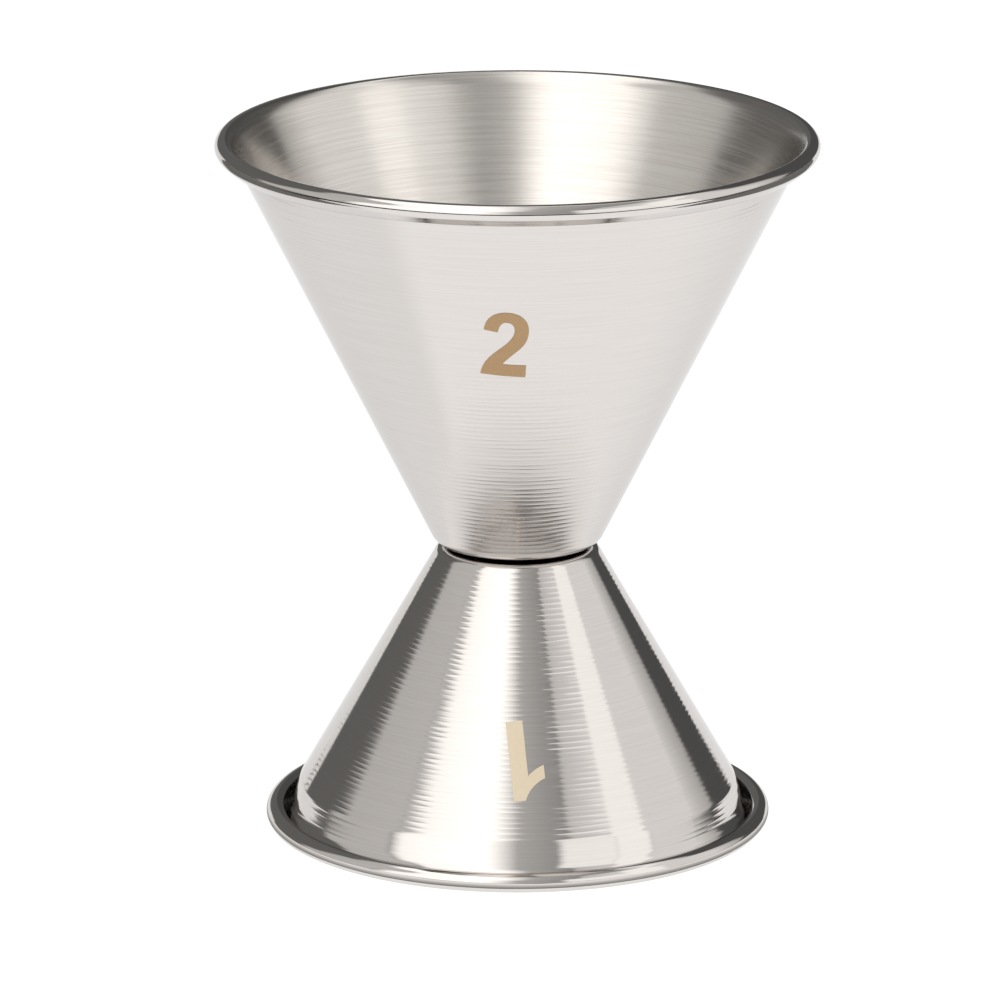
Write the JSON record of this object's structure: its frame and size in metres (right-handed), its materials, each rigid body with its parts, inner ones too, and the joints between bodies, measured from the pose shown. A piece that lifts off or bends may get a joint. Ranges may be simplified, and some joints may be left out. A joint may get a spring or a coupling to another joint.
{
  "type": "bar jigger",
  "caption": "Double-ended bar measure: a large and a small conical steel cup joined base to base, each with a rolled rim and a capacity numeral.",
  "frame": {"origin": "centre of the face that the jigger stands on, the land on the small cup's rolled rim", "axes": "+Z along the axis, from the small cup up to the large cup's mouth; the numerals are on the -Y side, and +X is to the right seen from there"},
  "size_m": [0.0652, 0.0652, 0.0767],
  "materials": {
    "cup_steel": "polished over fine circular spinning marks outside, satin circular brushing inside",
    "weld": "dull, heat-tinted resistance weld between the base discs",
    "mark": "matte bronze-tan laser mark with a thin darker edge"
  },
  "bodies": {
    "root": {"large_cup": "cup_steel", "small_cup": "cup_steel", "base_weld": "weld", "numeral_2": "mark", "numeral_1": "mark"}
  },
  "joints": []
}
